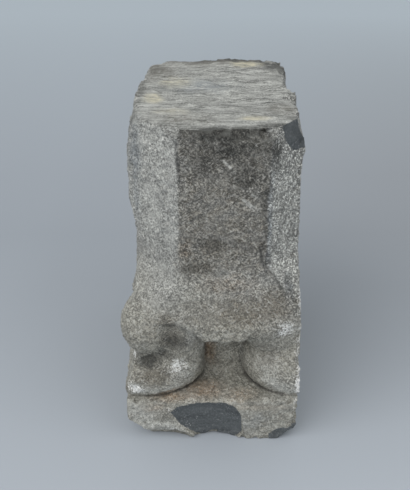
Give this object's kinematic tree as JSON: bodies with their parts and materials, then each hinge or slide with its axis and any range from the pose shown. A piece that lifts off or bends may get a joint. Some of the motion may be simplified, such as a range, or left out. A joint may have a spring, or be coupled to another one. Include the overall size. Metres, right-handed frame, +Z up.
{
  "type": "column base",
  "caption": "Carved stone column base: half octagonal shaft foot swelling into rounded feet round a small niche, on a low chipped plinth.",
  "frame": {"origin": "middle of the underside's overall box", "axes": "+Z up, the carved front faces -Y, +X to the right of someone looking at the front"},
  "size_m": [0.248, 0.39, 0.45],
  "materials": {
    "stone": "weathered, tooled, with dirt and fresh chips"
  },
  "bodies": {
    "root": {"column_base": "stone"}
  },
  "joints": []
}
